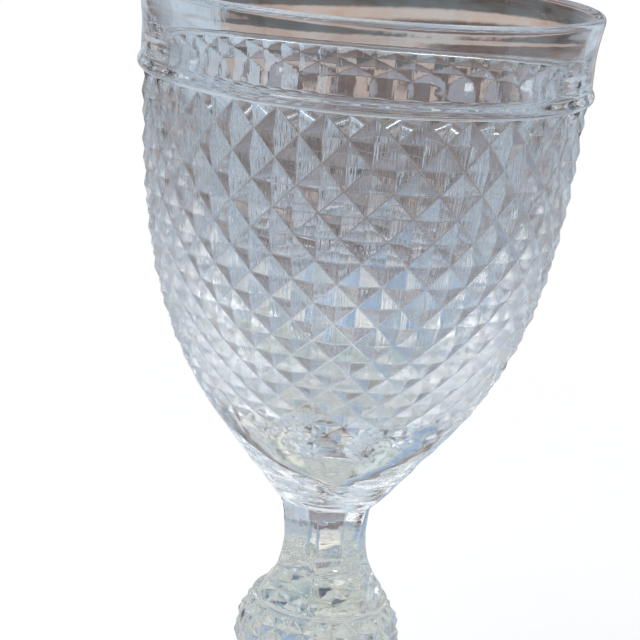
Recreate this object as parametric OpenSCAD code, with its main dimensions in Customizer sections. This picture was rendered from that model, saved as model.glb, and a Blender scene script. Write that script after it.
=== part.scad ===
// Pressed glass water goblet: a bowl studded with diamond points, a short six-sided stem
// and a studded bell foot. Millimetres, origin under the middle of the foot, +Z up.

/* [Bowl] */
// Height of the bowl, from the stem to the top of the lip
bowl_h = 98.5; // [92:0.5:110]
// Outer radius of the lip
lip_r = 43; // [40:0.5:46]
// Half the thickness of the round lip
lip_round = 1; // [0.8:0.1:1.2]
// Height of the plain band, from the notch under the bead to the top of the lip
band_h = 16.4; // [14:0.2:20]
// How far the plain band lies inside the lip
band_inset = 1; // [0.6:0.1:1.4]
// Half the height of the bead at the foot of the band
bead_round = 1.3; // [1:0.1:1.6]
// How far the bead's crest lies inside the lip
bead_inset = 0.5; // [0.3:0.1:0.8]
// How far the notch under the bead lies inside the lip
notch_inset = 2.2; // [1.8:0.1:2.6]
// How far the uppermost diamond points lie inside the lip
side_inset = 1.4; // [1.2:0.1:1.8]
// Height of the cone at the bottom of the bowl
cone_h = 17.5; // [15:0.5:20]
// Radius of the bowl at the top of that cone
cone_top_r = 23.8; // [22:0.2:26]
// Radius of the bowl where it meets the stem
base_r = 9.8; // [9:0.1:11]
// Glass under the lowest point of the cavity
floor_t = 9; // [7:0.5:10]
// Radius of the cavity's round floor
floor_round = 5; // [4:0.5:7]
// Slope of the cavity's side at its floor: change of radius for each millimetre up
floor_slope = 1.2; // [1.05:0.05:1.3]
// Thickness of the wall at the notch
wall_t = 2.9; // [2.6:0.1:3.4]

/* [Diamonds on the bowl] */
// Diamonds round the bowl
bowl_diamonds = 30; // [24:1:36]
// Rows of diamonds below the bead
bowl_rows = 19; // [14:1:19]
// Depth of the grooves, as a share of a diamond's width
bowl_groove = 0.11; // [0.06:0.01:0.13]
// Height of a diamond against its width, at the bead
bowl_stretch = 1.05; // [0.95:0.005:1.06]
// How much that falls with each row
bowl_shrink = 0.01; // [0.006:0.001:0.012]
// Rows at the bottom whose grooves fade out
fading_rows = 5; // [2:1:8]
// Turn of the pattern about the axis
bowl_turn = 3.2; // [0:0.1:12]

/* [Stem] */
// Height of the stem
stem_h = 20.5; // [18:0.5:26]
// Height of the stem's waist above the foot
waist_h = 12.5; // [11:0.5:14]
// Distance from the axis to the six faces at the waist
waist_face = 7.5; // [7:0.1:8]
// Radius of the hollow of each face below the waist
lower_hollow = 19.3; // [18.8:0.1:21]
// Radius of the hollow of each face above the waist
upper_hollow = 30; // [26:1:40]
// Radius of the round flare at the bottom of the stem
flare_r = 13; // [12.6:0.1:13.2]
// Turn of the six faces about the axis
stem_turn = 21; // [0:1:60]

/* [Foot] */
// Height of the foot
foot_h = 46; // [42:1:52]
// Radius of the foot on the table
foot_r = 38; // [35:0.5:42]
// Radius of the collar under the stem
collar_r = 13.6; // [13.4:0.1:14.2]
// Height of the collar
collar_h = 1; // [0.8:0.1:1.4]
// Height of the plain edge of the foot
edge_h = 3.4; // [3:0.1:4.4]
// Width of the flat ring that stands on the table
ring_w = 3; // [2.4:0.2:3.6]
// Height of the hollow under the foot
hollow_h = 24; // [20:1:26]

/* [Diamonds on the foot] */
// Diamonds round the foot
foot_diamonds = 16; // [14:1:20]
// Rows of diamonds on the foot
foot_rows = 12; // [9:1:12]
// Depth of the grooves, as a share of a diamond's width
foot_groove = 0.15; // [0.08:0.01:0.16]
// How much that share falls with each row
foot_groove_fall = 0.009; // [0.006:0.001:0.01]
// Height of a diamond against its width
foot_stretch = 1.08; // [1:0.01:1.1]
// Turn of the pattern about the axis
foot_turn = 0.8; // [0:0.1:22]

/* [Hidden] */
$fn = 96;
glass = [0.80, 0.87, 0.90, 0.6];
// points worked out along each curved outline
curve_steps = 24;
// how far one solid reaches into another that it is joined to
bite = 0.6;
// clear reach of a cutting shape past what it cuts
past = 2;

stem_z = foot_h;
bowl_z = foot_h + stem_h;
notch_z = bowl_h - band_h;
cone_slope = (cone_top_r - base_r) / cone_h;

// a point of a cubic curve with the ends a and d and the handles b and c
function curve_point(a, b, c, d, t) =
    pow(1 - t, 3) * a + 3 * t * pow(1 - t, 2) * b + 3 * t * t * (1 - t) * c + pow(t, 3) * d;

// the whole curve, from a to d, as [radius, height] pairs
function curve_line(a, b, c, d) =
    [for (i = [0:curve_steps]) curve_point(a, b, c, d, i / curve_steps)];

// radius of an outline at a height, for an outline that is listed from the bottom up
function outline_r(line, z) = lookup(z, [for (p = line) [p[1], p[0]]]);

// slope of an outline at a height: change of radius for each millimetre up
function outline_slope(line, z) = (outline_r(line, z + 0.1) - outline_r(line, z - 0.1)) / 0.2;

// heights of the rows of points, each a diamond's half height further down the outline
function row_heights(line, count, z, rows, stretch, shrink) =
    rows < 0 ? [] : concat([z], row_heights(line, count, next_row(line, count, z, stretch),
        rows - 1, stretch - shrink, shrink));
function next_row(line, count, z, stretch) =
    z - stretch * PI / count * outline_r(line, z) / sqrt(1 + pow(outline_slope(line, z), 2));

// a point of the studded wall: the corner k of a row, raised on a diamond's tip and
// sunk in the crossing of two grooves
function stud(r, z, depth, row, k, count, turn) =
    let (low = (row + k) % 2 == 0, a = turn + k * 180 / count, reach = r - (low ? depth : 0))
    [reach * sin(a), -reach * cos(a), z];

// a plain ring of points, for the two ends of a studded wall
function plain_ring(r, z, count, turn) =
    [for (k = [0:2 * count - 1]) let (a = turn + k * 180 / count) [r * sin(a), -r * cos(a), z]];

// closed solid of a studded wall: rows of studs between two plain rings, listed from the top
// down, with each cell of the grid folded along its groove
module studded(rings, count) {
    around = 2 * count;
    last = len(rings) - 1;
    points = [for (ring = rings) each ring];
    sides = [for (j = [0:last - 1]) for (k = [0:around - 1])
        let (a = j * around + k, b = j * around + (k + 1) % around, c = a + around, d = b + around,
            leans = (j + k) % 2 == 1)
        each leans ? [[a, b, d], [a, d, c]] : [[a, b, c], [b, d, c]]];
    top = [[for (k = [around - 1:-1:0]) k]];
    bottom = [[for (k = [0:around - 1]) last * around + k]];
    polyhedron(points = points, faces = concat(sides, top, bottom), convexity = 8);
}

// Bowl

side_r = lip_r - side_inset;
notch_r = lip_r - notch_inset;
lip_z = bowl_h - lip_round;
// lengths of the outline's handles at the notch and at the cone
side_handle = 23.3;
cone_handle = 18.5;
// slope of the side where it meets the notch, outside and inside
side_lean = 0.05;
side_line = curve_line([cone_top_r, cone_h],
    [cone_top_r + cone_slope * cone_handle, cone_h + cone_handle],
    [side_r, notch_z] - [side_lean, 1] * side_handle, [side_r, notch_z]);
bowl_line = concat([[base_r, 0]], side_line);
// the first row of points is hidden in the bead
first_row_z = notch_z + 0.4;
bowl_rows_z = row_heights(bowl_line, bowl_diamonds, first_row_z, bowl_rows, bowl_stretch,
    bowl_shrink);

// groove depth of a row: a share of the diamond's width, fading in the last rows
function bowl_depth(j, r) =
    bowl_groove * 2 * PI * r / bowl_diamonds
        * min(1, max(0.15, (bowl_rows + 0.5 - j) / (fading_rows + 0.5)));

module studded_side() {
    rows = [for (j = [0:bowl_rows]) let (z = bowl_rows_z[j], r = outline_r(bowl_line, z))
        [for (k = [0:2 * bowl_diamonds - 1])
            stud(r, z, bowl_depth(j, r), j, k, bowl_diamonds, bowl_turn)]];
    end_z = bowl_rows_z[bowl_rows] - bite;
    studded(concat([plain_ring(notch_r - bite, first_row_z + bite, bowl_diamonds, bowl_turn)],
        rows, [plain_ring(outline_r(bowl_line, end_z) - 2 * bite, end_z, bowl_diamonds,
            bowl_turn)]), bowl_diamonds);
}

module plain_base() {
    top_z = bowl_rows_z[bowl_rows] + 0.2;
    rotate_extrude() polygon([[0, 0], [base_r, 0], [outline_r(bowl_line, top_z) - 0.4, top_z],
        [0, top_z]]);
}

module band_and_lip() {
    band_r = lip_r - band_inset;
    bead_r = lip_r - bead_inset - bead_round;
    inner = lip_r - 6;
    // the band is straight up to here, and above it flares gently into the lip
    flare_z = notch_z + bead_round + 6.5;
    flare_line = curve_line([band_r, flare_z], [band_r + 0.2, flare_z + 3.6],
        [lip_r - 0.1, lip_z - 1.6], [lip_r, lip_z]);
    rotate_extrude() polygon(concat([[inner, notch_z], [notch_r, notch_z],
        [bead_r, notch_z + 0.3], [bead_r, notch_z + 2 * bead_round], [band_r, notch_z + 4]],
        flare_line, [[inner, lip_z]]));
    translate([0, 0, notch_z + bead_round + 0.1])
        rotate_extrude() translate([bead_r, 0]) circle(bead_round, $fn = 32);
    translate([0, 0, lip_z])
        rotate_extrude() translate([lip_r - lip_round, 0]) circle(lip_round, $fn = 32);
}

module cavity() {
    // angle of the cavity's side against the axis, where its round floor ends
    lean = atan(floor_slope);
    floor_line = [for (i = [0:12]) let (a = (90 - lean) * i / 12)
        [floor_round * sin(a), floor_t + floor_round * (1 - cos(a))]];
    start = floor_line[12];
    top = [lip_r - side_inset - wall_t, notch_z];
    // lengths of the outline's handles inside, at the floor and at the notch
    floor_handle = 26;
    top_handle = 24;
    inner_line = curve_line(start, start + [floor_slope, 1] * floor_handle,
        top - [side_lean, 1] * top_handle, top);
    mouth_r = lip_r - 2 * lip_round;
    mouth_line = curve_line(top, top + [0.3, 6], [mouth_r, lip_z - 5], [mouth_r, lip_z]);
    rotate_extrude() polygon(concat(floor_line, [for (i = [1:curve_steps]) inner_line[i]],
        [for (i = [1:curve_steps]) mouth_line[i]],
        [[mouth_r, bowl_h + past], [0, bowl_h + past]]));
}

module bowl() {
    color(glass) translate([0, 0, bowl_z]) difference() {
        union() {
            studded_side();
            plain_base();
            band_and_lip();
        }
        cavity();
    }
}

// Stem

// what is cut away in front of one face: its outline is two hollow arcs that meet at the waist
module face_cut() {
    wide = 2 * flare_r;
    rotate([90, 0, 0]) linear_extrude(wide, center = true) {
        intersection() {
            translate([waist_face + lower_hollow, waist_h]) circle(lower_hollow, $fn = 180);
            translate([0, -past]) square([wide, waist_h + past]);
        }
        intersection() {
            translate([waist_face + upper_hollow, waist_h]) circle(upper_hollow, $fn = 240);
            translate([0, waist_h]) square([wide, stem_h]);
        }
    }
}

module stem() {
    color(glass) translate([0, 0, stem_z]) difference() {
        cylinder(h = stem_h, r = flare_r);
        for (i = [0:5]) rotate(stem_turn + 60 * i - 90) face_cut();
    }
}

// Foot

top_z = foot_h - collar_h;
// height and radius where the shoulder passes into the bell
neck_z = 0.68 * foot_h;
neck_r = 15.5;
bell_end_r = foot_r - 1.4;
shoulder_line = curve_line([neck_r, neck_z], [neck_r + 1.4, neck_z + 4.5],
    [collar_r + 4.3, top_z - 2], [collar_r - 0.3, top_z]);
bell_line = curve_line([bell_end_r, edge_h + 1.4], [bell_end_r - 16, edge_h + 5.4],
    [neck_r - 2.4, neck_z - 7.7], [neck_r, neck_z]);
foot_line = concat(bell_line, [for (i = [1:curve_steps]) shoulder_line[i]]);
foot_rows_z = row_heights(foot_line, foot_diamonds, top_z, foot_rows, foot_stretch, 0);

function foot_depth(j, r) = (foot_groove - foot_groove_fall * j) * 2 * PI * r / foot_diamonds;

module studded_bell() {
    rows = [for (j = [0:foot_rows]) let (z = foot_rows_z[j], r = outline_r(foot_line, z))
        [for (k = [0:2 * foot_diamonds - 1])
            stud(r, z, foot_depth(j, r), j, k, foot_diamonds, foot_turn)]];
    end_z = foot_rows_z[foot_rows];
    studded(concat([plain_ring(collar_r - 2, top_z + bite / 2, foot_diamonds, foot_turn)], rows,
        [plain_ring(outline_r(foot_line, end_z) - 4, end_z - 1.5, foot_diamonds, foot_turn)]),
        foot_diamonds);
}

// the plain rim of the foot, from under the last row of diamonds to the table
module plain_rim() {
    end_z = foot_rows_z[foot_rows] + 0.4;
    low_line = [for (p = bell_line) if (p[1] < end_z) p - [0, 0.5]];
    rotate_extrude() polygon(concat([[0, 0], [foot_r - 0.9, 0], [foot_r, 0.9], [foot_r, edge_h - 0.7],
        [foot_r - 0.4, edge_h + 0.3]], low_line, [[outline_r(foot_line, end_z) - 1, end_z - 0.5],
        [0, end_z - 0.5]]));
}

module collar() {
    translate([0, 0, top_z - 0.4]) rotate_extrude()
        polygon([[0, 0], [collar_r - 1, 0], [collar_r, 0.5], [collar_r, collar_h - 0.1],
            [collar_r - 0.5, collar_h + 0.4], [0, collar_h + 0.4]]);
}

module hollow() {
    mouth_r = foot_r - 0.9 - ring_w;
    under_line = curve_line([mouth_r, 0], [mouth_r - 13, 5], [12, hollow_h], [0, hollow_h]);
    rotate_extrude() polygon(concat([[0, -past], [mouth_r, -past]], under_line));
}

module foot() {
    color(glass) difference() {
        union() {
            studded_bell();
            plain_rim();
            collar();
        }
        hollow();
    }
}

bowl();
stem();
foot();
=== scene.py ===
# %% [markdown]
# # A pressed glass water goblet
# The goblet is one glass object with three formed parts: a bowl covered in diamond points, a
# short six-sided stem, and a studded bell foot. Each part here is its own closed mesh, made
# around the CAD part of the same name. We load the CAD model first, because every size below
# is either read from it or drawn to match it.

# %% Load the frame
import math
import random

import bmesh
import bpy
from mathutils import Matrix, Vector, noise
from mathutils.geometry import interpolate_bezier


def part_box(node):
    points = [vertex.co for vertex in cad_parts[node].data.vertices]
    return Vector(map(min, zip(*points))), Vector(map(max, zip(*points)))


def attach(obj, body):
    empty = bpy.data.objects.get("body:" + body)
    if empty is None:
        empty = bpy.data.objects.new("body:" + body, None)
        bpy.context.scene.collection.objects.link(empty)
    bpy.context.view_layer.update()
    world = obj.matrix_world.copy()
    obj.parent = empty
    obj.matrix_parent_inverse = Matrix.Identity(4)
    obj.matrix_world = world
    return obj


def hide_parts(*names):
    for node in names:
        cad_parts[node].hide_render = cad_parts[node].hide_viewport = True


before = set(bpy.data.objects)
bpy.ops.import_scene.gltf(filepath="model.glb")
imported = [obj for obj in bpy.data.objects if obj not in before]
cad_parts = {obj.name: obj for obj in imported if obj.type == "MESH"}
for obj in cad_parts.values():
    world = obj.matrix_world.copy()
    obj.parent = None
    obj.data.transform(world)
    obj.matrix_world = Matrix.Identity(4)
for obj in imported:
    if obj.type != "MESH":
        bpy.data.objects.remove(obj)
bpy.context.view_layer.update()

# %% [markdown]
# ## Sizes from the frame
# Blender works in metres here. The heights at which the three parts meet and the radius of
# the lip come straight from the boxes of the CAD parts, so that the looks can't drift away
# from the construction. A small helper turns millimetres into metres, because a glass is
# easier to think about in millimetres.

# %% Sizes from the frame
def mm(value):
    """A length in millimetres, in metres."""
    return value / 1000


bowl_low, bowl_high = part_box("bowl")
stem_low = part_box("stem")[0]
foot_low, foot_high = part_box("foot")

lip_top = bowl_high.z
stem_top = bowl_low.z
stem_bottom = stem_low.z
table = foot_low.z
lip_radius = min(bowl_high.x, bowl_high.y)
foot_radius = min(foot_high.x, foot_high.y)
print("lip radius", round(lip_radius * 1000, 2), "foot radius", round(foot_radius * 1000, 2))

# %% [markdown]
# ## Helpers for turned shapes
# Everything on a goblet is turned about one axis, so most of the work is done by the spin
# operator: a line of a few points, given as radius and height, is spun into a skin of
# quads. A line that starts on the axis closes itself, once the points that fall together
# there are merged. Two neighbouring skins with different numbers of sides are joined with
# bridge_loops, which copes with uneven counts.

# %% Helpers for turned shapes
def curve(start, start_handle, end_handle, end, points):
    """A cubic curve as (radius, height) pairs, its ends included."""
    made = interpolate_bezier(
        Vector((*start, 0)), Vector((*start_handle, 0)), Vector((*end_handle, 0)),
        Vector((*end, 0)), points,
    )
    return [(p.x, p.y) for p in made]


def spin_skin(bm, outline, sides, turn=0.0):
    """Spins an outline of (radius, height) pairs about the axis into a skin of quads."""
    line = [bm.verts.new((0.0, -radius, height)) for radius, height in outline]
    edges = [bm.edges.new(pair) for pair in zip(line, line[1:])]
    start = Matrix.Rotation(math.radians(turn), 3, "Z")
    bmesh.ops.rotate(bm, verts=line, cent=(0, 0, 0), matrix=start)
    before = set(bm.verts)
    bmesh.ops.spin(
        bm, geom=line + edges, cent=(0, 0, 0), axis=(0, 0, 1), angle=math.tau,
        steps=sides, use_merge=True, use_duplicate=False,
    )
    return [v for v in bm.verts if v.is_valid and (v not in before or v in line)]


def azimuth(vert):
    """Angle of a vertex about the axis in degrees: 0 at the front, growing towards +X."""
    return math.degrees(math.atan2(vert.co.x, -vert.co.y))


def set_radius(vert, radius):
    """Moves a vertex straight in or out, to a new radius."""
    old = math.hypot(vert.co.x, vert.co.y)
    vert.co.x *= radius / old
    vert.co.y *= radius / old


def open_edges(bm, low, high):
    """The open edges of the mesh between two heights."""
    return [e for e in bm.edges if e.is_boundary and all(low <= v.co.z <= high for v in e.verts)]


def arc(centre_radius, centre_height, radius, start, end, points):
    """Points on an arc, as (radius, height) pairs: 0 degrees points outwards, 90 up."""
    angles = [math.radians(start + (end - start) * i / (points - 1)) for i in range(points)]
    return [
        (centre_radius + radius * math.cos(a), centre_height + radius * math.sin(a)) for a in angles
    ]


# %% [markdown]
# ## How diamond points are laid out
# Pressed diamond points sit in rows that are half a diamond apart, each row shifted by half
# a diamond. Seen as a grid, every crossing of a row and a column is either a tip or the
# place where two grooves cross, like the two colours of a chessboard. A diamond keeps its
# proportions as the glass gets narrower, so each row is a little closer to the next than the
# one above it. A constant row height would be simpler, but the diamonds would turn into
# tall slivers near the stem.

# %% How diamond points are laid out
def radius_at(outline, height):
    """Radius of an outline, listed from the top down, at a height."""
    for (r0, z0), (r1, z1) in zip(outline, outline[1:]):
        if z1 <= height <= z0:
            return r0 + (r1 - r0) * (z0 - height) / (z0 - z1)
    return outline[-1][0] if height < outline[-1][1] else outline[0][0]


def row_heights(outline, count, first, rows, stretch, shrink):
    """Heights of the rows of points, each a diamond's half height down the outline."""
    heights = [first]
    step = mm(0.1)
    for row in range(rows):
        height = heights[-1]
        slope = (radius_at(outline, height + step) - radius_at(outline, height - step)) / (2 * step)
        half_width = math.pi * radius_at(outline, height) / count
        heights.append(height - (stretch - shrink * row) * half_width / math.sqrt(1 + slope**2))
    return heights


def spin_studs(bm, outline, heights, count, turn, depth, chance, unevenness):
    """Spins the rows, sinks every second crossing and folds each cell along its groove."""
    corners = [(radius_at(outline, height), height) for height in heights]
    skin = spin_skin(bm, corners, 2 * count, turn)
    low = []
    for vert in skin:
        row = min(range(len(heights)), key=lambda j: abs(heights[j] - vert.co.z))
        column = round((azimuth(vert) - turn) * count / 180)
        radius = corners[row][0]
        if (row + column) % 2 == 0:
            radius -= depth(row, radius)
            low.append(vert)
        set_radius(vert, radius + chance.uniform(-unevenness, unevenness))
    bmesh.ops.connect_verts(bm, verts=low)
    return skin


# %% [markdown]
# ## The stem's outline
# The stem is a round bar with six hollow faces pressed into it. Across, it is a hexagon
# whose faces come closest to the axis at the waist and swing outwards above and below it,
# until the round bar cuts their corners. The outline is a rule rather than a list of points,
# because the bowl and the foot need the very same line where the stem meets them. A soft
# minimum rounds the edges between the faces, as fire polishing does.

# %% The stem's outline
waist_height = stem_bottom + mm(12.5)
waist_face = mm(7.5)
lower_hollow = mm(19.3)
upper_hollow = mm(30)
flare_radius = mm(13)
faces_turn = 21
face_angle = 60
edge_softness = mm(0.35)


def soft_min(a, b, softness):
    """The smaller of two lengths, with a rounded passage from one to the other."""
    near = max(softness - abs(a - b), 0) / softness
    return min(a, b) - near * near * softness / 4


def face_distance(height):
    """Distance from the axis to the stem's faces at a height."""
    hollow = lower_hollow if height < waist_height else upper_hollow
    return waist_face + hollow - math.sqrt(hollow**2 - (height - waist_height) ** 2)


def stem_radius(angle, height):
    """Radius of the stem at an angle about the axis in degrees, and a height."""
    off = abs((angle - faces_turn + face_angle / 2) % face_angle - face_angle / 2)
    face = face_distance(height) / math.cos(math.radians(off))
    neighbour = face_distance(height) / math.cos(math.radians(face_angle - off))
    return soft_min(soft_min(face, neighbour, edge_softness), flare_radius, edge_softness)


print("stem across its faces in mm:", round(2000 * face_distance(waist_height), 1))

# %% [markdown]
# ## The bowl
# The bowl has four stretches outside: a plain cone above the stem, the studded side, a round
# bead in a notch, and a plain band that flares gently into the lip. Inside it is smooth all
# the way, because that side is formed by a polished plunger. The outside and the inside are
# one closed skin, since light has to enter and leave real glass for its refraction to be
# right. Solidify could give the wall its thickness, but the inside doesn't follow the studs,
# so it gets an outline of its own.

# %% Outline of the bowl
sides = 192
seam_angle = -9
base_radius = mm(9.8)
cone_top = stem_top + mm(17.5)
cone_radius = mm(23.8)
cone_slope = (cone_radius - base_radius) / (cone_top - stem_top)
notch = lip_top - mm(16.4)
side_radius = lip_radius - mm(1.4)
side_handle = mm(23.3)
cone_handle = mm(18.5)
side_line = curve(
    (side_radius, notch), (side_radius - 0.05 * side_handle, notch - side_handle),
    (cone_radius + cone_slope * cone_handle, cone_top + cone_handle),
    (cone_radius, cone_top), 60,
) + [(base_radius, stem_top)]

bowl_diamonds = 30
bowl_rows = 19
bowl_turn = 3.2
fading_rows = 5
bowl_heights = row_heights(side_line, bowl_diamonds, notch + mm(0.4), bowl_rows, 1.05, 0.01)
bowl_heights[0] = notch
print("rows of the bowl in mm:", [round(z * 1000, 1) for z in bowl_heights])


def bowl_depth(row, radius):
    """Depth of the grooves: a share of a diamond's width that fades in the last rows."""
    fade = min(1, max(0.15, (bowl_rows + 0.5 - row) / (fading_rows + 0.5)))
    return 0.11 * math.tau * radius / bowl_diamonds * fade


# %% Bead, band, lip and cavity
bead_round = mm(1.3)
bead_centre = lip_radius - mm(0.5) - bead_round
bead_middle = notch + bead_round + mm(0.1)
band_radius = lip_radius - mm(1.05)
lip_round = mm(1)
lip_middle = lip_top - lip_round
outer_line = arc(bead_centre, bead_middle, bead_round, -62, 40, 9)
outer_line += curve(
    (band_radius - mm(0.05), bead_middle + mm(1.5)), (band_radius - mm(0.02), bead_middle + mm(2.6)),
    (band_radius, bead_middle + mm(4)), (band_radius, bead_middle + mm(5.4)), 6,
)
outer_line += curve(
    (band_radius + mm(0.02), bead_middle + mm(6.4)), (band_radius + mm(0.2), bead_middle + mm(10)),
    (lip_radius - mm(0.1), lip_middle - mm(1.6)), (lip_radius, lip_middle - mm(0.2)), 10,
)
outer_line += arc(lip_radius - lip_round, lip_middle, lip_round, 8, 172, 11)

mouth_radius = lip_radius - 2 * lip_round
wall = mm(2.9)
inner_notch = side_radius - wall
floor_round = mm(5)
floor_height = stem_top + mm(9)
floor_slope = 1.2
floor_handle = mm(26)
lean = math.degrees(math.atan(floor_slope))
floor_line = arc(0, floor_height + floor_round, floor_round, -lean, -90, 10)
floor_start = floor_line[0]
mouth_line = curve(
    (mouth_radius, lip_middle - mm(0.3)), (mouth_radius - mm(0.1), lip_middle - mm(5)),
    (inner_notch + mm(0.3), notch + mm(6)), (inner_notch, notch), 14,
)
inner_line = curve(
    (inner_notch, notch), (inner_notch - 0.05 * mm(24), notch - mm(24)),
    (floor_start[0] + floor_slope * floor_handle, floor_start[1] + floor_handle), floor_start, 40,
)
outer_line += mouth_line + inner_line[1:] + floor_line[1:]


def inside_radius(height):
    """Radius of the cavity at a height."""
    return radius_at(mouth_line + inner_line[1:] + floor_line[1:], height)

# %% [markdown]
# ## One skin from several stretches
# The plain stretches need many sides to look round, while the studded stretch has exactly
# two corners for every diamond. So each stretch is spun with its own number of sides, and
# bridge_loops stitches the open edges together. The edges of the diamonds are then bevelled
# by a fraction of a millimetre: pressed glass never has a perfectly sharp edge, and it is
# that tiny round which catches the light. Plain stretches get faint level ripples, as glass
# has where it chilled while it flowed. The last step merges the points on the axis and turns
# all faces outwards.

# %% Helpers for joining the stretches
seam_band = mm(0.02)
loop_reach = mm(0.45)
sharp_angle = math.radians(42)
ripples_round = 130
ripples_upward = 420


def bridge(bm, heights):
    """Joins the two open loops that lie between two heights."""
    low, high = min(heights) - loop_reach, max(heights) + loop_reach
    bmesh.ops.bridge_loops(bm, edges=open_edges(bm, low, high))


def round_studs(bm, width):
    """Bevels the ridges and grooves among the studs, and leaves the rows at both ends."""
    inner_edges = [e for e in bm.edges if not e.is_boundary]
    bmesh.ops.bevel(
        bm, geom=inner_edges, offset=width, offset_type="OFFSET", affect="EDGES",
        segments=2, profile=0.5, material=-1, clamp_overlap=True,
    )


def raise_seams(bm, first, height):
    """Raises a thin line on three columns of studs, where the thirds of the mould met."""
    raised = 0
    for vert in bm.verts:
        off = (azimuth(vert) - first + 60) % 120 - 60
        if abs(off) < 0.05:
            set_radius(vert, math.hypot(vert.co.x, vert.co.y) + height)
            raised += 1
    print(raised, "points on the mould's seams")


def shape_to_stem(verts, height):
    """Draws a ring of points in to the stem's outline where the stem meets it."""
    for vert in verts:
        set_radius(vert, stem_radius(azimuth(vert), height))


def ripple(verts, low, high, depth):
    """Level ripples where the glass chilled as it flowed, which die out at both heights."""
    for vert in verts:
        share = (vert.co.z - low) / (high - low)
        if 0 < share < 1:
            fade = min(1, 5 * share, 5 * (1 - share))
            wave = noise.noise(Vector((
                vert.co.x * ripples_round, vert.co.y * ripples_round, vert.co.z * ripples_upward,
            )))
            set_radius(vert, math.hypot(vert.co.x, vert.co.y) + depth * fade * wave)


def mark_joint(bm, height):
    """Gives the faces that lie inside the stem's outline at a height the second material."""
    for face in bm.faces:
        flat = all(abs(v.co.z - height) < seam_band for v in face.verts)
        middle = face.calc_center_median()
        angle = math.degrees(math.atan2(middle.x, -middle.y))
        if flat and math.hypot(middle.x, middle.y) < stem_radius(angle, height):
            face.material_index = 1


def finish_mesh(bm, name, body, node, materials):
    """Closes the skin, turns its faces outwards and makes the piece that stands for a node."""
    bmesh.ops.remove_doubles(bm, verts=bm.verts, dist=mm(0.001))
    bmesh.ops.recalc_face_normals(bm, faces=bm.faces)
    for face in bm.faces:
        face.smooth = True
    for edge in bm.edges:
        edge.smooth = not (edge.is_manifold and edge.calc_face_angle() > sharp_angle)
    open_count = sum(1 for e in bm.edges if not e.is_manifold)
    volume = bm.calc_volume()
    mesh = bpy.data.meshes.new(name)
    bm.to_mesh(mesh)
    bm.free()
    for material in materials:
        mesh.materials.append(material)
    piece = bpy.data.objects.new(name, mesh)
    bpy.context.scene.collection.objects.link(piece)
    shading = piece.modifiers.new("facet_shading", "WEIGHTED_NORMAL")
    shading.mode = "FACE_AREA"
    shading.weight = 100
    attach(piece, body)
    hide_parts(node)
    print(name, len(mesh.polygons), "faces,", open_count, "open edges,",
          round(volume * 1e6, 1), "ml of glass")
    return piece


# %% [markdown]
# ## Clear pressed glass
# Soda-lime glass has an index of refraction of about 1.5. Its faint blue-grey comes from
# the base colour, which tints light each time it goes through a wall. What makes a pressed
# piece look pressed is its surface: fine upright wrinkles where the hot gob chilled against
# the plunger, a soft unevenness from fire polishing, and a trace of haze from washing. These
# come from noise on Object coordinates. For the wrinkles those coordinates are first laid
# round the axis, so that the wrinkles run down the wall on every side. A perfectly smooth
# Glass BSDF would look like a computer's idea of crystal.

# %% Helpers for shader nodes
def feed(links, socket, value):
    """Links a socket to another one, or sets it to a plain value."""
    if isinstance(value, bpy.types.NodeSocket):
        links.new(value, socket)
    else:
        socket.default_value = value


def add_noise(nodes, links, coordinates, scale, detail, roughness):
    """A noise texture on Object coordinates, scaled along X, Y and Z."""
    mapping = nodes.new("ShaderNodeMapping")
    mapping.inputs["Scale"].default_value = scale
    links.new(coordinates, mapping.inputs["Vector"])
    clouds = nodes.new("ShaderNodeTexNoise")
    clouds.inputs["Scale"].default_value = 1
    clouds.inputs["Detail"].default_value = detail
    clouds.inputs["Roughness"].default_value = roughness
    links.new(mapping.outputs["Vector"], clouds.inputs["Vector"])
    return clouds.outputs["Fac"]


def add_math(nodes, links, operation, *values):
    """A sum, product or other operation on sockets and plain numbers."""
    node = nodes.new("ShaderNodeMath")
    node.operation = operation
    for socket, value in zip(node.inputs, values):
        feed(links, socket, value)
    return node.outputs[0]


def add_range(nodes, links, value, from_low, from_high, to_low=0, to_high=1):
    """Stretches one range of values to another, and stops at its ends."""
    node = nodes.new("ShaderNodeMapRange")
    links.new(value, node.inputs["Value"])
    node.inputs["From Min"].default_value = from_low
    node.inputs["From Max"].default_value = from_high
    node.inputs["To Min"].default_value = to_low
    node.inputs["To Max"].default_value = to_high
    return node.outputs["Result"]


def add_mix(nodes, links, factor, first, second, blend="MIX"):
    """A mix of two colours, each a socket or red, green and blue."""
    node = nodes.new("ShaderNodeMix")
    node.data_type = "RGBA"
    node.blend_type = blend
    feed(links, node.inputs["Factor"], factor)
    for name, colour in (("A", first), ("B", second)):
        feed(links, node.inputs[name], (*colour, 1) if isinstance(colour, tuple) else colour)
    return node.outputs["Result"]


def add_ramp(nodes, links, factor, stops):
    """A run of colours, given as positions and colours."""
    ramp = nodes.new("ShaderNodeValToRGB")
    while len(ramp.color_ramp.elements) < len(stops):
        ramp.color_ramp.elements.new(0.5)
    for element, (position, colour) in zip(ramp.color_ramp.elements, stops):
        element.position = position
        element.color = (*colour, 1)
    links.new(factor, ramp.inputs["Fac"])
    return ramp.outputs["Color"]


def add_bump(nodes, links, height, distance, normal=None):
    """A bump of a real depth, on top of another one if there is one."""
    bump = nodes.new("ShaderNodeBump")
    bump.inputs["Strength"].default_value = 1
    bump.inputs["Distance"].default_value = distance
    links.new(height, bump.inputs["Height"])
    if normal:
        links.new(normal, bump.inputs["Normal"])
    return bump.outputs["Normal"]


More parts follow.
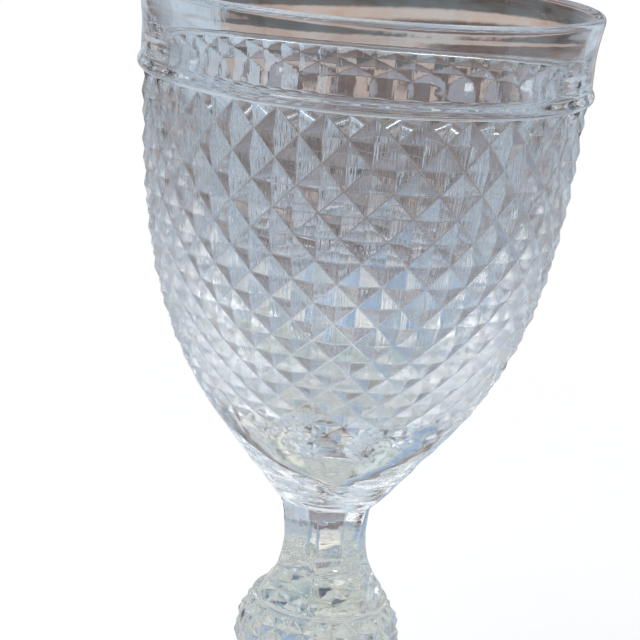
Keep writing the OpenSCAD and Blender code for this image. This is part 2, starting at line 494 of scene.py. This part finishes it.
def add_meridians(nodes, links, place):
    """Coordinates that only change round the axis, and slowly upwards."""
    flat = nodes.new("ShaderNodeVectorMath")
    flat.operation = "MULTIPLY"
    flat.inputs[1].default_value = (1, 1, 0)
    links.new(place, flat.inputs[0])
    outward = nodes.new("ShaderNodeVectorMath")
    outward.operation = "NORMALIZE"
    links.new(flat.outputs["Vector"], outward.inputs[0])
    parts = nodes.new("ShaderNodeSeparateXYZ")
    links.new(place, parts.inputs["Vector"])
    upward = nodes.new("ShaderNodeCombineXYZ")
    links.new(add_math(nodes, links, "MULTIPLY", parts.outputs["Z"], wrinkles_upward),
              upward.inputs["Z"])
    both = nodes.new("ShaderNodeVectorMath")
    both.operation = "MULTIPLY_ADD"
    both.inputs[1].default_value = (wrinkles_round, wrinkles_round, 0)
    links.new(outward.outputs["Vector"], both.inputs[0])
    links.new(upward.outputs["Vector"], both.inputs[2])
    return both.outputs["Vector"]


# %% Clear pressed glass
blue_grey = (0.90, 0.925, 0.945)
cloudy_blue = (0.86, 0.895, 0.925)
wrinkles_round = 84
wrinkles_upward = 60


def glass_material(name, haze, wrinkles, swelling):
    """Pressed glass with a faint tint, a little haze and a wrinkled, uneven surface."""
    material = bpy.data.materials.new(name)
    material.use_nodes = True
    nodes, links = material.node_tree.nodes, material.node_tree.links
    shader = nodes["Principled BSDF"]
    shader.inputs["Transmission Weight"].default_value = 1
    shader.inputs["IOR"].default_value = 1.5
    place = nodes.new("ShaderNodeTexCoord").outputs["Object"]

    cloud = add_noise(nodes, links, place, (60, 60, 60), 3, 0.6)
    links.new(add_mix(nodes, links, cloud, blue_grey, cloudy_blue), shader.inputs["Base Color"])
    smear = add_noise(nodes, links, place, (140, 140, 90), 4, 0.65)
    dull = add_range(nodes, links, smear, 0.45, 0.75, haze * 0.5, haze)
    links.new(dull, shader.inputs["Roughness"])

    upright = add_noise(nodes, links, add_meridians(nodes, links, place), (1, 1, 1), 2, 0.5)
    uneven = add_noise(nodes, links, place, (260, 260, 260), 2, 0.5)
    wrinkled = add_bump(nodes, links, upright, wrinkles)
    links.new(add_bump(nodes, links, uneven, swelling, wrinkled), shader.inputs["Normal"])
    return material


bowl_glass = glass_material("bowl_pressed_glass", 0.012, mm(0.004), mm(0.02))
inside_glass = glass_material("plunger_side_glass", 0.02, mm(0.07), mm(0.02))

# %% [markdown]
# ## The joint inside the glass
# On the real goblet the three parts are fused while hot, so there is no surface between them.
# Each mesh is still closed there, because a mesh with a hole has no inside. The faces in the
# joint get a fully transparent material: light passes from one part to the next unbent.

# %% The joint inside the glass
def joint_material():
    """A surface that can't be seen, for the faces where two parts are fused."""
    material = bpy.data.materials.new("fused_joint")
    material.use_nodes = True
    shader = material.node_tree.nodes["Principled BSDF"]
    shader.inputs["Alpha"].default_value = 0
    return material


fused_joint = joint_material()

# %% [markdown]
# ## Making the bowl
# The bowl starts with its studs. The rows end at the notch and at the cone, where the plain
# stretches take over: below, the cone with a flat underside that carries the stem's outline,
# and above, the bead, the band, the lip and the whole inside down to the floor. The faces
# that the plunger formed get a material of their own, with stronger upright wrinkles.

# %% Making the bowl
ridge_width = mm(0.2)
stud_unevenness = mm(0.06)
chance = random.Random(7)

bowl_bm = bmesh.new()
spin_studs(
    bowl_bm, side_line, bowl_heights, bowl_diamonds, bowl_turn, bowl_depth, chance,
    stud_unevenness,
)
round_studs(bowl_bm, ridge_width)
raise_seams(bowl_bm, bowl_turn - 2 * 180 / bowl_diamonds, mm(0.12))
cone_start = bowl_heights[-1] - mm(0.9)
cone_end = stem_top + mm(0.4)
cone_rings = 30
cone_ripple = mm(0.35)
joint_ring = mm(9.4)
cone_line = [(radius_at(side_line, cone_start), cone_start)]
for ring in range(1, cone_rings):
    height = cone_start + (cone_end - cone_start) * ring / cone_rings
    cone_line.append((radius_at(side_line, height), height))
cone_line += [(base_radius + mm(0.15), cone_end), (base_radius - mm(0.2), stem_top)]
under = spin_skin(bowl_bm, cone_line + [(joint_ring, stem_top), (0, stem_top)], sides, seam_angle)
ripple(under, cone_end, cone_start, cone_ripple)
ring = [v for v in under if abs(v.co.z - stem_top) < seam_band
        and abs(math.hypot(v.co.x, v.co.y) - joint_ring) < seam_band]
print(len(ring), "points on the joint's outline")
shape_to_stem(ring, stem_top)
spin_skin(bowl_bm, outer_line, sides, seam_angle)
bridge(bowl_bm, (notch, outer_line[0][1]))
bridge(bowl_bm, (bowl_heights[-1], cone_start))
mark_joint(bowl_bm, stem_top)
wrinkles_start = floor_height + mm(14)
inside_reach = mm(0.3)
for face in bowl_bm.faces:
    middle = face.calc_center_median()
    reach = math.hypot(middle.x, middle.y)
    if wrinkles_start < middle.z < notch and inside_radius(middle.z) + inside_reach > reach:
        face.material_index = 2
finish_mesh(
    bowl_bm, "studded_bowl", "root", "bowl",
    [bowl_glass, fused_joint, inside_glass],
)

# %% [markdown]
# ## Making the stem
# The stem is one skin: a straight round bar with a flat cap at each end, whose points are
# then drawn in to the rule for its outline. The rows are close together, so that the hollow
# faces and the scalloped line where they run out into the round bar come out crisp. Cutting
# the faces with six booleans gives the same shape, but leaves long thin faces behind that
# shade badly in glass.

# %% Making the stem
stem_rows = 72
stem_ripple = mm(0.12)
stem_glass = glass_material("stem_pressed_glass", 0.02, mm(0.005), mm(0.15))
stem_bm = bmesh.new()
stem_line = [(0, stem_bottom)]
stem_line += [
    (flare_radius, stem_bottom + (stem_top - stem_bottom) * row / stem_rows)
    for row in range(stem_rows + 1)
]
stem_line.append((0, stem_top))
for point in spin_skin(stem_bm, stem_line, sides, seam_angle):
    if math.hypot(point.co.x, point.co.y) > seam_band:
        set_radius(point, stem_radius(azimuth(point), point.co.z))
ripple(stem_bm.verts, stem_bottom, stem_top, stem_ripple)
mark_joint(stem_bm, stem_top)
mark_joint(stem_bm, stem_bottom)
finish_mesh(
    stem_bm, "six_sided_stem", "root", "stem", [stem_glass, fused_joint]
)

# %% [markdown]
# ## Making the foot
# The foot swells out under a thin collar, narrows to a neck and spreads into a bell, with
# the same diamond points as the bowl in a coarser size. It stands on a narrow ring, and
# underneath it is hollow, so that it doesn't rock and the glass cools evenly.

# %% Outline of the foot
foot_diamonds = 16
foot_rows = 12
foot_turn = 0.8
foot_height = stem_bottom - table
collar_radius = mm(13.6)
collar_height = mm(1)
shoulder = stem_bottom - collar_height
neck = table + 0.68 * foot_height
neck_radius = mm(15.5)
edge_height = table + mm(3.4)
bell_end_radius = foot_radius - mm(1.4)
foot_line = curve(
    (collar_radius - mm(0.3), shoulder), (collar_radius + mm(4.3), shoulder - mm(2)),
    (neck_radius + mm(1.4), neck + mm(4.5)), (neck_radius, neck), 30,
)
foot_line += curve(
    (neck_radius, neck), (neck_radius - mm(2.4), neck - mm(7.7)),
    (bell_end_radius - mm(16), edge_height + mm(5.4)),
    (bell_end_radius, edge_height + mm(1.4)), 30,
)[1:]
foot_heights = row_heights(foot_line, foot_diamonds, shoulder, foot_rows, 1.08, 0)
foot_heights[0] = shoulder - mm(0.1)
print("rows of the foot in mm:", [round(z * 1000, 1) for z in foot_heights])


def foot_depth(row, radius):
    """Depth of the grooves on the foot: a share of a diamond's width that falls slowly."""
    return (0.15 - 0.009 * row) * math.tau * radius / foot_diamonds


collar_ring = mm(12.5)
collar_line = [(0, stem_bottom), (collar_ring, stem_bottom)]
collar_line += arc(collar_radius - mm(0.5), stem_bottom - mm(0.5), mm(0.5), 90, 0, 6)
collar_line += arc(collar_radius - mm(0.3), shoulder + mm(0.5), mm(0.3), 0, -80, 4)[1:]

rim_start = foot_heights[-1] - mm(0.8)
ring_width = mm(3)
hollow_top = table + mm(24)
rim_line = [(radius_at(foot_line, rim_start), rim_start)]
rim_line += curve(
    (radius_at(foot_line, edge_height + mm(2)), edge_height + mm(2)),
    (bell_end_radius - mm(0.6), edge_height + mm(1.2)),
    (foot_radius, edge_height + mm(0.9)), (foot_radius, edge_height - mm(0.6)), 8,
)
rim_line += arc(foot_radius - mm(0.9), table + mm(0.9), mm(0.9), 0, -90, 6)
ring_inside = foot_radius - mm(0.9) - ring_width
rim_line += arc(ring_inside + mm(0.5), table + mm(0.5), mm(0.5), -90, -150, 4)
rim_line += curve(
    (ring_inside - mm(0.4), table + mm(0.6)), (ring_inside - mm(13), table + mm(5)),
    (mm(12), hollow_top), (0, hollow_top), 30,
)

# %% Making the foot
foot_glass = glass_material("foot_pressed_glass", 0.02, mm(0.005), mm(0.12))
foot_bm = bmesh.new()
spin_studs(
    foot_bm, foot_line, foot_heights, foot_diamonds, foot_turn, foot_depth, chance,
    stud_unevenness,
)
round_studs(foot_bm, ridge_width)
collar_skin = spin_skin(foot_bm, collar_line, sides, seam_angle)
shape_to_stem(
    [v for v in collar_skin if abs(math.hypot(v.co.x, v.co.y) - collar_ring) < seam_band],
    stem_bottom,
)
spin_skin(foot_bm, rim_line, sides, seam_angle)
bridge(foot_bm, (shoulder, collar_line[-1][1]))
bridge(foot_bm, (foot_heights[-1], rim_start))
mark_joint(foot_bm, stem_bottom)
finish_mesh(foot_bm, "bell_foot", "root", "foot", [foot_glass, fused_joint])

# %% [markdown]
# ## A white room
# The photograph shows the goblet on plain white. A white world that lights the glass from all
# sides would wash it out, so the white is only for eyes: rays that come from the camera, or
# that the glass bends or mirrors, see it at a strength of 1, and the light that falls on
# things is weaker.

# %% A white room
def seen_share(nodes, links):
    """1 for rays that come from the camera, a mirror reflection or through glass."""
    path = nodes.new("ShaderNodeLightPath")
    share = add_math(
        nodes, links, "MAXIMUM", path.outputs["Is Camera Ray"], path.outputs["Is Glossy Ray"]
    )
    return add_math(nodes, links, "MAXIMUM", share, path.outputs["Is Transmission Ray"])


def make_world(strength):
    """Soft light from everywhere, which looks plain white."""
    world = bpy.data.worlds.new("white_room")
    bpy.context.scene.world = world
    world.use_nodes = True
    nodes, links = world.node_tree.nodes, world.node_tree.links
    ambient = nodes["Background"]
    ambient.inputs["Color"].default_value = (0.95, 0.97, 1, 1)
    ambient.inputs["Strength"].default_value = strength
    white = nodes.new("ShaderNodeBackground")
    white.inputs["Color"].default_value = (1, 1, 1, 1)
    mix = nodes.new("ShaderNodeMixShader")
    links.new(seen_share(nodes, links), mix.inputs["Fac"])
    links.new(ambient.outputs["Background"], mix.inputs[1])
    links.new(white.outputs["Background"], mix.inputs[2])
    links.new(mix.outputs["Shader"], nodes["World Output"].inputs["Surface"])
    print("world made, its light at a strength of", strength)


make_world(0.75)

# %% [markdown]
# ## The floor
# The goblet stands on a large plain floor. Far out the floor looks plain white in the same
# way as the world, so that no horizon shows. Close to the foot it keeps enough of its matt
# paint to show the goblet's shadow. A backdrop sheet that curves up behind the goblet, as in
# a studio, would do as well, but it shows an edge when the camera moves round.

# %% The floor
def floor_material(near, far, near_share):
    """Matt white paint that fades into plain white between two distances from the goblet."""
    material = bpy.data.materials.new("white_table")
    material.use_nodes = True
    nodes, links = material.node_tree.nodes, material.node_tree.links
    matt = nodes["Principled BSDF"]
    matt.inputs["Base Color"].default_value = (0.9, 0.9, 0.9, 1)
    matt.inputs["Roughness"].default_value = 0.9
    glow = nodes.new("ShaderNodeEmission")
    glow.inputs["Color"].default_value = (1, 1, 1, 1)
    away = nodes.new("ShaderNodeVectorMath")
    away.operation = "LENGTH"
    links.new(nodes.new("ShaderNodeTexCoord").outputs["Object"], away.inputs[0])
    fade = add_range(nodes, links, away.outputs["Value"], near, far, near_share, 1)
    mix = nodes.new("ShaderNodeMixShader")
    links.new(add_math(nodes, links, "MULTIPLY", seen_share(nodes, links), fade), mix.inputs["Fac"])
    links.new(matt.outputs["BSDF"], mix.inputs[1])
    links.new(glow.outputs["Emission"], mix.inputs[2])
    links.new(mix.outputs["Shader"], nodes["Material Output"].inputs["Surface"])
    return material


def stage_piece(name, bm, material):
    """Turns a bmesh into an object that is scenery, and not part of the goblet."""
    mesh = bpy.data.meshes.new(name)
    bm.to_mesh(mesh)
    bm.free()
    mesh.materials.append(material)
    piece = bpy.data.objects.new(name, mesh)
    bpy.context.scene.collection.objects.link(piece)
    return piece


floor_bm = bmesh.new()
bmesh.ops.create_grid(floor_bm, x_segments=1, y_segments=1, size=4)
bmesh.ops.translate(floor_bm, verts=floor_bm.verts, vec=(0, 0, table))
stage_piece("floor", floor_bm, floor_material(0.1, 0.4, 0.6))
print("floor at height", table)

# %% [markdown]
# ## Paper for the glass to look at
# Clear glass has hardly a colour of its own. What we see in it is its surroundings, bent and
# cut up by the diamonds: here browns and greys at the height of the bowl, and pale blue,
# cream and grey below it. A photographer gives glass on white its edges and tones with cards
# around it, just outside the picture. We do the same with two sheets of paper: a round wall,
# and a sheet that lies on the floor. The camera looks past them, they throw no shadow and
# light nothing, so they only show in the glass. Their pattern repeats six times round the
# goblet, so that it looks alike from every side.

# %% Paper for the glass to look at
def paper(name):
    """Paper lit from behind, so that its colours come out as they are written."""
    material = bpy.data.materials.new(name)
    material.use_nodes = True
    nodes, links = material.node_tree.nodes, material.node_tree.links
    nodes.remove(nodes["Principled BSDF"])
    glow = nodes.new("ShaderNodeEmission")
    links.new(glow.outputs["Emission"], nodes["Material Output"].inputs["Surface"])
    place = nodes.new("ShaderNodeTexCoord").outputs["Object"]
    return material, nodes, links, place, glow.inputs["Color"]


def add_sixths(nodes, links, place, wobble):
    """0 to 1 round each sixth of a turn, 0.5 straight behind the goblet, with uneven borders."""
    turn = nodes.new("ShaderNodeTexGradient")
    turn.gradient_type = "RADIAL"
    links.new(place, turn.inputs["Vector"])
    uneven = add_noise(nodes, links, place, (25, 25, 25), 2, 0.5)
    shift = add_math(nodes, links, "MULTIPLY_ADD", uneven, wobble, -wobble / 2)
    turned = add_math(nodes, links, "MULTIPLY_ADD", turn.outputs["Fac"], 6, shift)
    return add_math(nodes, links, "FRACT", turned)


def hide_from_camera(card):
    """Leaves a card to the glass alone."""
    card.visible_camera = False
    card.visible_diffuse = False
    card.visible_shadow = False


# %% [markdown]
# ## The wall of paper
# The diamonds turn a view of the whole wall into a few square millimetres each, so it needs
# broad bands and not fine detail. They run level: brown low down, a salmon band that shows
# through the mouth, dark and pale bands above it for the strokes in the cone. A slow wave
# and some noise keep them from looking ruled. A pale stretch in each sixth gives the sides
# of the goblet their light grey.

# %% The wall of paper
wall_height = 0.42
wall_radius = 0.36
streak_rise = mm(18)
room_stops = [
    (0.0, (0.41, 0.39, 0.42)), (0.07, (0.34, 0.30, 0.30)), (0.13, (0.19, 0.14, 0.125)),
    (0.203, (0.17, 0.115, 0.10)), (0.216, (0.60, 0.475, 0.405)), (0.25, (0.58, 0.455, 0.395)),
    (0.262, (0.14, 0.13, 0.12)), (0.318, (0.10, 0.09, 0.085)), (0.33, (0.30, 0.24, 0.21)),
    (0.39, (0.46, 0.47, 0.48)), (0.43, (0.50, 0.54, 0.57)), (0.445, (0.08, 0.055, 0.05)),
    (0.50, (0.12, 0.09, 0.08)), (0.515, (0.54, 0.60, 0.66)), (0.62, (0.62, 0.69, 0.75)),
    (0.64, (0.10, 0.08, 0.08)), (0.67, (0.12, 0.10, 0.10)), (0.69, (0.60, 0.67, 0.73)),
    (0.74, (0.74, 0.82, 0.88)), (0.755, (0.16, 0.12, 0.11)), (0.78, (0.16, 0.12, 0.11)),
    (0.795, (0.84, 0.92, 0.98)), (0.86, (0.58, 0.65, 0.71)), (0.875, (0.22, 0.20, 0.20)),
    (0.895, (0.22, 0.20, 0.20)), (0.91, (0.68, 0.75, 0.82)), (1.0, (0.58, 0.65, 0.71)),
]
pale_grey = (0.70, 0.79, 0.87)
pale_share = [
    (0.0, (0.7, 0.7, 0.7)), (0.11, (0.6, 0.6, 0.6)), (0.18, (0, 0, 0)), (0.66, (0, 0, 0)),
    (0.675, (0.85, 0.85, 0.85)), (1.0, (0.7, 0.7, 0.7)),
]
hue_stops = [(0.38, (0.88, 0.74, 0.68)), (0.5, (1, 1, 1)), (0.62, (0.96, 1.08, 1.16))]


def wall_material():
    """Streaks of brown and grey that rise and fall, like a room out of focus."""
    material, nodes, links, place, colour = paper("room_paper")
    parts = nodes.new("ShaderNodeSeparateXYZ")
    links.new(place, parts.inputs["Vector"])
    sixths = add_sixths(nodes, links, place, 0.02)
    swing = add_math(nodes, links, "SINE", add_math(nodes, links, "MULTIPLY", sixths, math.tau))
    streaks = add_noise(nodes, links, place, (5, 5, 40), 1, 0.5)
    shift = add_math(nodes, links, "MULTIPLY_ADD", streaks, 0.012, -0.006)
    risen = add_math(nodes, links, "MULTIPLY_ADD", swing, -streak_rise, shift)
    height = add_math(nodes, links, "ADD", parts.outputs["Z"], risen)
    room = add_ramp(nodes, links, add_range(nodes, links, height, 0, wall_height), room_stops)
    share = add_ramp(nodes, links, sixths, pale_share)
    pale = add_mix(nodes, links, share, room, pale_grey)
    blotches = add_noise(nodes, links, place, (26, 26, 14), 3, 0.6)
    hues = add_ramp(nodes, links, blotches, hue_stops)
    links.new(add_mix(nodes, links, 1.0, pale, hues, "MULTIPLY"), colour)
    return material


wall_bm = bmesh.new()
bmesh.ops.create_circle(wall_bm, segments=64, radius=wall_radius)
raised = bmesh.ops.extrude_edge_only(wall_bm, edges=wall_bm.edges[:])["geom"]
upper = [v for v in raised if isinstance(v, bmesh.types.BMVert)]
bmesh.ops.translate(wall_bm, verts=wall_bm.verts, vec=(0, 0, table))
bmesh.ops.translate(wall_bm, verts=upper, vec=(0, 0, wall_height))
hide_from_camera(stage_piece("room_paper_wall", wall_bm, wall_material()))
print("wall of paper:", wall_radius, "m round the goblet,", wall_height, "m high")

# %% [markdown]
# ## The sheet of paper on the floor
# Through the lower bowl, the stem and the foot we look down at this sheet. From the middle
# outwards it is plain under the foot, mottled cream beside it, then blue and cream sectors
# that give some diamonds their two colours, and brown with pale grey gaps at the outside.

# %% The sheet of paper on the floor
sector_stops = [
    (0.0, (0.51, 0.58, 0.66)), (0.12, (0.44, 0.53, 0.65)), (0.2, (0.33, 0.47, 0.66)),
    (0.43, (0.35, 0.50, 0.71)), (0.475, (1.02, 0.94, 0.82)), (0.62, (0.94, 0.88, 0.79)),
    (0.74, (0.66, 0.68, 0.69)), (0.82, (0.58, 0.63, 0.68)), (1.0, (0.51, 0.58, 0.66)),
]
outer_stops = [
    (0.0, (0.52, 0.60, 0.69)), (0.18, (0.45, 0.53, 0.63)), (0.27, (0.26, 0.20, 0.18)),
    (0.72, (0.27, 0.22, 0.205)), (0.82, (0.56, 0.63, 0.69)), (1.0, (0.54, 0.62, 0.70)),
]
near_stops = [
    (0.37, (0.12, 0.14, 0.18)), (0.42, (0.42, 0.46, 0.47)), (0.47, (0.58, 0.60, 0.53)),
    (0.55, (0.62, 0.63, 0.55)), (0.6, (0.95, 0.93, 0.84)),
]
under_foot = (0.66, 0.68, 0.62)
far_grey = (0.43, 0.48, 0.54)
patch_grey = (0.34, 0.39, 0.46)
spot_stops = [(0.3, (0.2, 0.2, 0.2)), (0.34, (0.62, 0.62, 0.65)), (0.56, (1.12, 1.12, 1.11))]
near_tints = [
    (0.0, (0.91, 0.95, 0.99)), (0.1, (0.75, 0.85, 0.97)), (0.4, (0.75, 0.85, 0.97)),
    (0.5, (1, 1, 0.97)), (0.85, (1, 1, 0.97)), (1.0, (0.91, 0.95, 0.99)),
]


def sheet_material():
    """Cream close to the goblet, then pale blue and cream sectors, then brown."""
    material, nodes, links, place, glow = paper("table_paper")
    sixths = add_sixths(nodes, links, place, 0.1)
    away = nodes.new("ShaderNodeVectorMath")
    away.operation = "LENGTH"
    links.new(place, away.inputs[0])
    uneven = add_noise(nodes, links, place, (22, 22, 22), 2, 0.5)
    shift = add_math(nodes, links, "MULTIPLY_ADD", uneven, 0.04, -0.02)
    reach = add_math(nodes, links, "ADD", away.outputs["Value"], shift)
    sectors = add_ramp(nodes, links, sixths, sector_stops)
    faded = add_range(nodes, links, reach, 0.12, 0.22, 0, 0.65)
    fading = add_mix(nodes, links, faded, sectors, far_grey)
    outer = add_ramp(nodes, links, sixths, outer_stops)
    patches = add_noise(nodes, links, place, (30, 30, 30), 1, 0.5)
    greyer = add_range(nodes, links, patches, 0.46, 0.54)
    half = add_math(nodes, links, "MULTIPLY", greyer, 0.5)
    patched = add_mix(nodes, links, half, outer, patch_grey)
    middle = add_mix(nodes, links, add_range(nodes, links, reach, 0.215, 0.235), fading, patched)
    mottled = add_noise(nodes, links, place, (60, 60, 60), 2, 0.5)
    near = add_mix(
        nodes, links, 1.0, add_ramp(nodes, links, mottled, near_stops),
        add_ramp(nodes, links, sixths, near_tints), "MULTIPLY",
    )
    beside = add_range(nodes, links, away.outputs["Value"], 0.038, 0.055, 0.12, 1)
    close = add_mix(nodes, links, beside, under_foot, near)
    colour = add_mix(nodes, links, add_range(nodes, links, reach, 0.085, 0.105), close, middle)
    blotches = add_noise(nodes, links, place, (70, 70, 70), 3, 0.6)
    spots = add_ramp(nodes, links, blotches, spot_stops)
    links.new(add_mix(nodes, links, 1.0, colour, spots, "MULTIPLY"), glow)
    return material


sheet_bm = bmesh.new()
bmesh.ops.create_circle(sheet_bm, cap_ends=True, segments=64, radius=wall_radius - 0.01)
bmesh.ops.translate(sheet_bm, verts=sheet_bm.verts, vec=(0, 0, table + mm(0.2)))
hide_from_camera(stage_piece("table_paper_sheet", sheet_bm, sheet_material()))
print("sheet of paper on the floor:", wall_radius - 0.01, "m round the goblet")

# %% [markdown]
# ## How far light is followed
# A ray that crosses the bowl meets four surfaces, and many are mirrored inside the wall
# before they get out. A ray that is given up too early comes back black, so that glass
# followed for too few steps gets black edges. More steps only cost time.

# %% How far light is followed
cycles = bpy.context.scene.cycles
cycles.max_bounces = 24
cycles.glossy_bounces = 16
cycles.transmission_bounces = 24
print("rays are followed for", cycles.max_bounces, "steps")

# %% [markdown]
# ## Two soft lamps
# A large lamp at the front left and a weaker, cooler one at the right add the small bright
# marks on the edges of the diamonds, and the soft shadow on the floor. They are large,
# because a small strong lamp draws hard white squiggles in every groove.

# %% Two soft lamps
def soft_lamp(name, place, size, power, colour):
    """A square soft lamp that shines at the middle of the goblet."""
    data = bpy.data.lights.new(name, "AREA")
    data.size = size
    data.energy = power
    data.color = colour
    lamp = bpy.data.objects.new(name, data)
    lamp.location = place
    aim = Vector((0, 0, 0.1)) - Vector(place)
    lamp.rotation_euler = aim.to_track_quat("-Z", "Y").to_euler()
    lamp.visible_camera = False
    bpy.context.scene.collection.objects.link(lamp)
    return lamp


soft_lamp("key", (-0.6, -0.5, 0.95), 0.8, 8, (1, 0.98, 0.95))
soft_lamp("fill", (0.7, -0.3, 0.9), 0.6, 3, (0.85, 0.93, 1))
print("lamps:", sorted(light.name for light in bpy.data.lights))

# %% [markdown]
# ## The camera
# The camera stands where the photograph was taken from: close by, a little above the lip,
# looking down and slightly rolled. Its place and turn were found by fitting it to points of
# the pattern. The picture leaves out the lower foot, as the photograph does. The turn is
# built from its own forward, right and top directions, because a track-to constraint can't
# roll the camera.

# %% The camera
lens = 113.9
camera_distance = 0.376
camera_height = 0.2031
yaw, pitch, roll = (math.radians(a) for a in (-0.70, 15.05, 4.90))
camera_data = bpy.data.cameras.new("camera")
camera = bpy.data.objects.new("camera", camera_data)
bpy.context.scene.collection.objects.link(camera)
bpy.context.scene.camera = camera
camera_data.sensor_width = 36
camera_data.lens = lens
forward = Vector((math.sin(yaw) * math.cos(pitch), math.cos(yaw) * math.cos(pitch), -math.sin(pitch)))
level = Vector((math.cos(yaw), -math.sin(yaw), 0))
upward = level.cross(forward)
right = math.cos(roll) * level + math.sin(roll) * upward
top = -math.sin(roll) * level + math.cos(roll) * upward
camera.matrix_world = Matrix((
    (right.x, top.x, -forward.x, 0),
    (right.y, top.y, -forward.y, -camera_distance),
    (right.z, top.z, -forward.z, camera_height),
    (0, 0, 0, 1),
))
camera_data.clip_start = 0.01
camera_data.clip_end = 20
print("camera", camera_distance, "m in front and", camera_height, "m up, lens", lens, "mm")

# %% [markdown]
# ## Finish
# The Standard view shows colours as they were written.

# %% Finish
bpy.context.scene.view_settings.view_transform = "Standard"
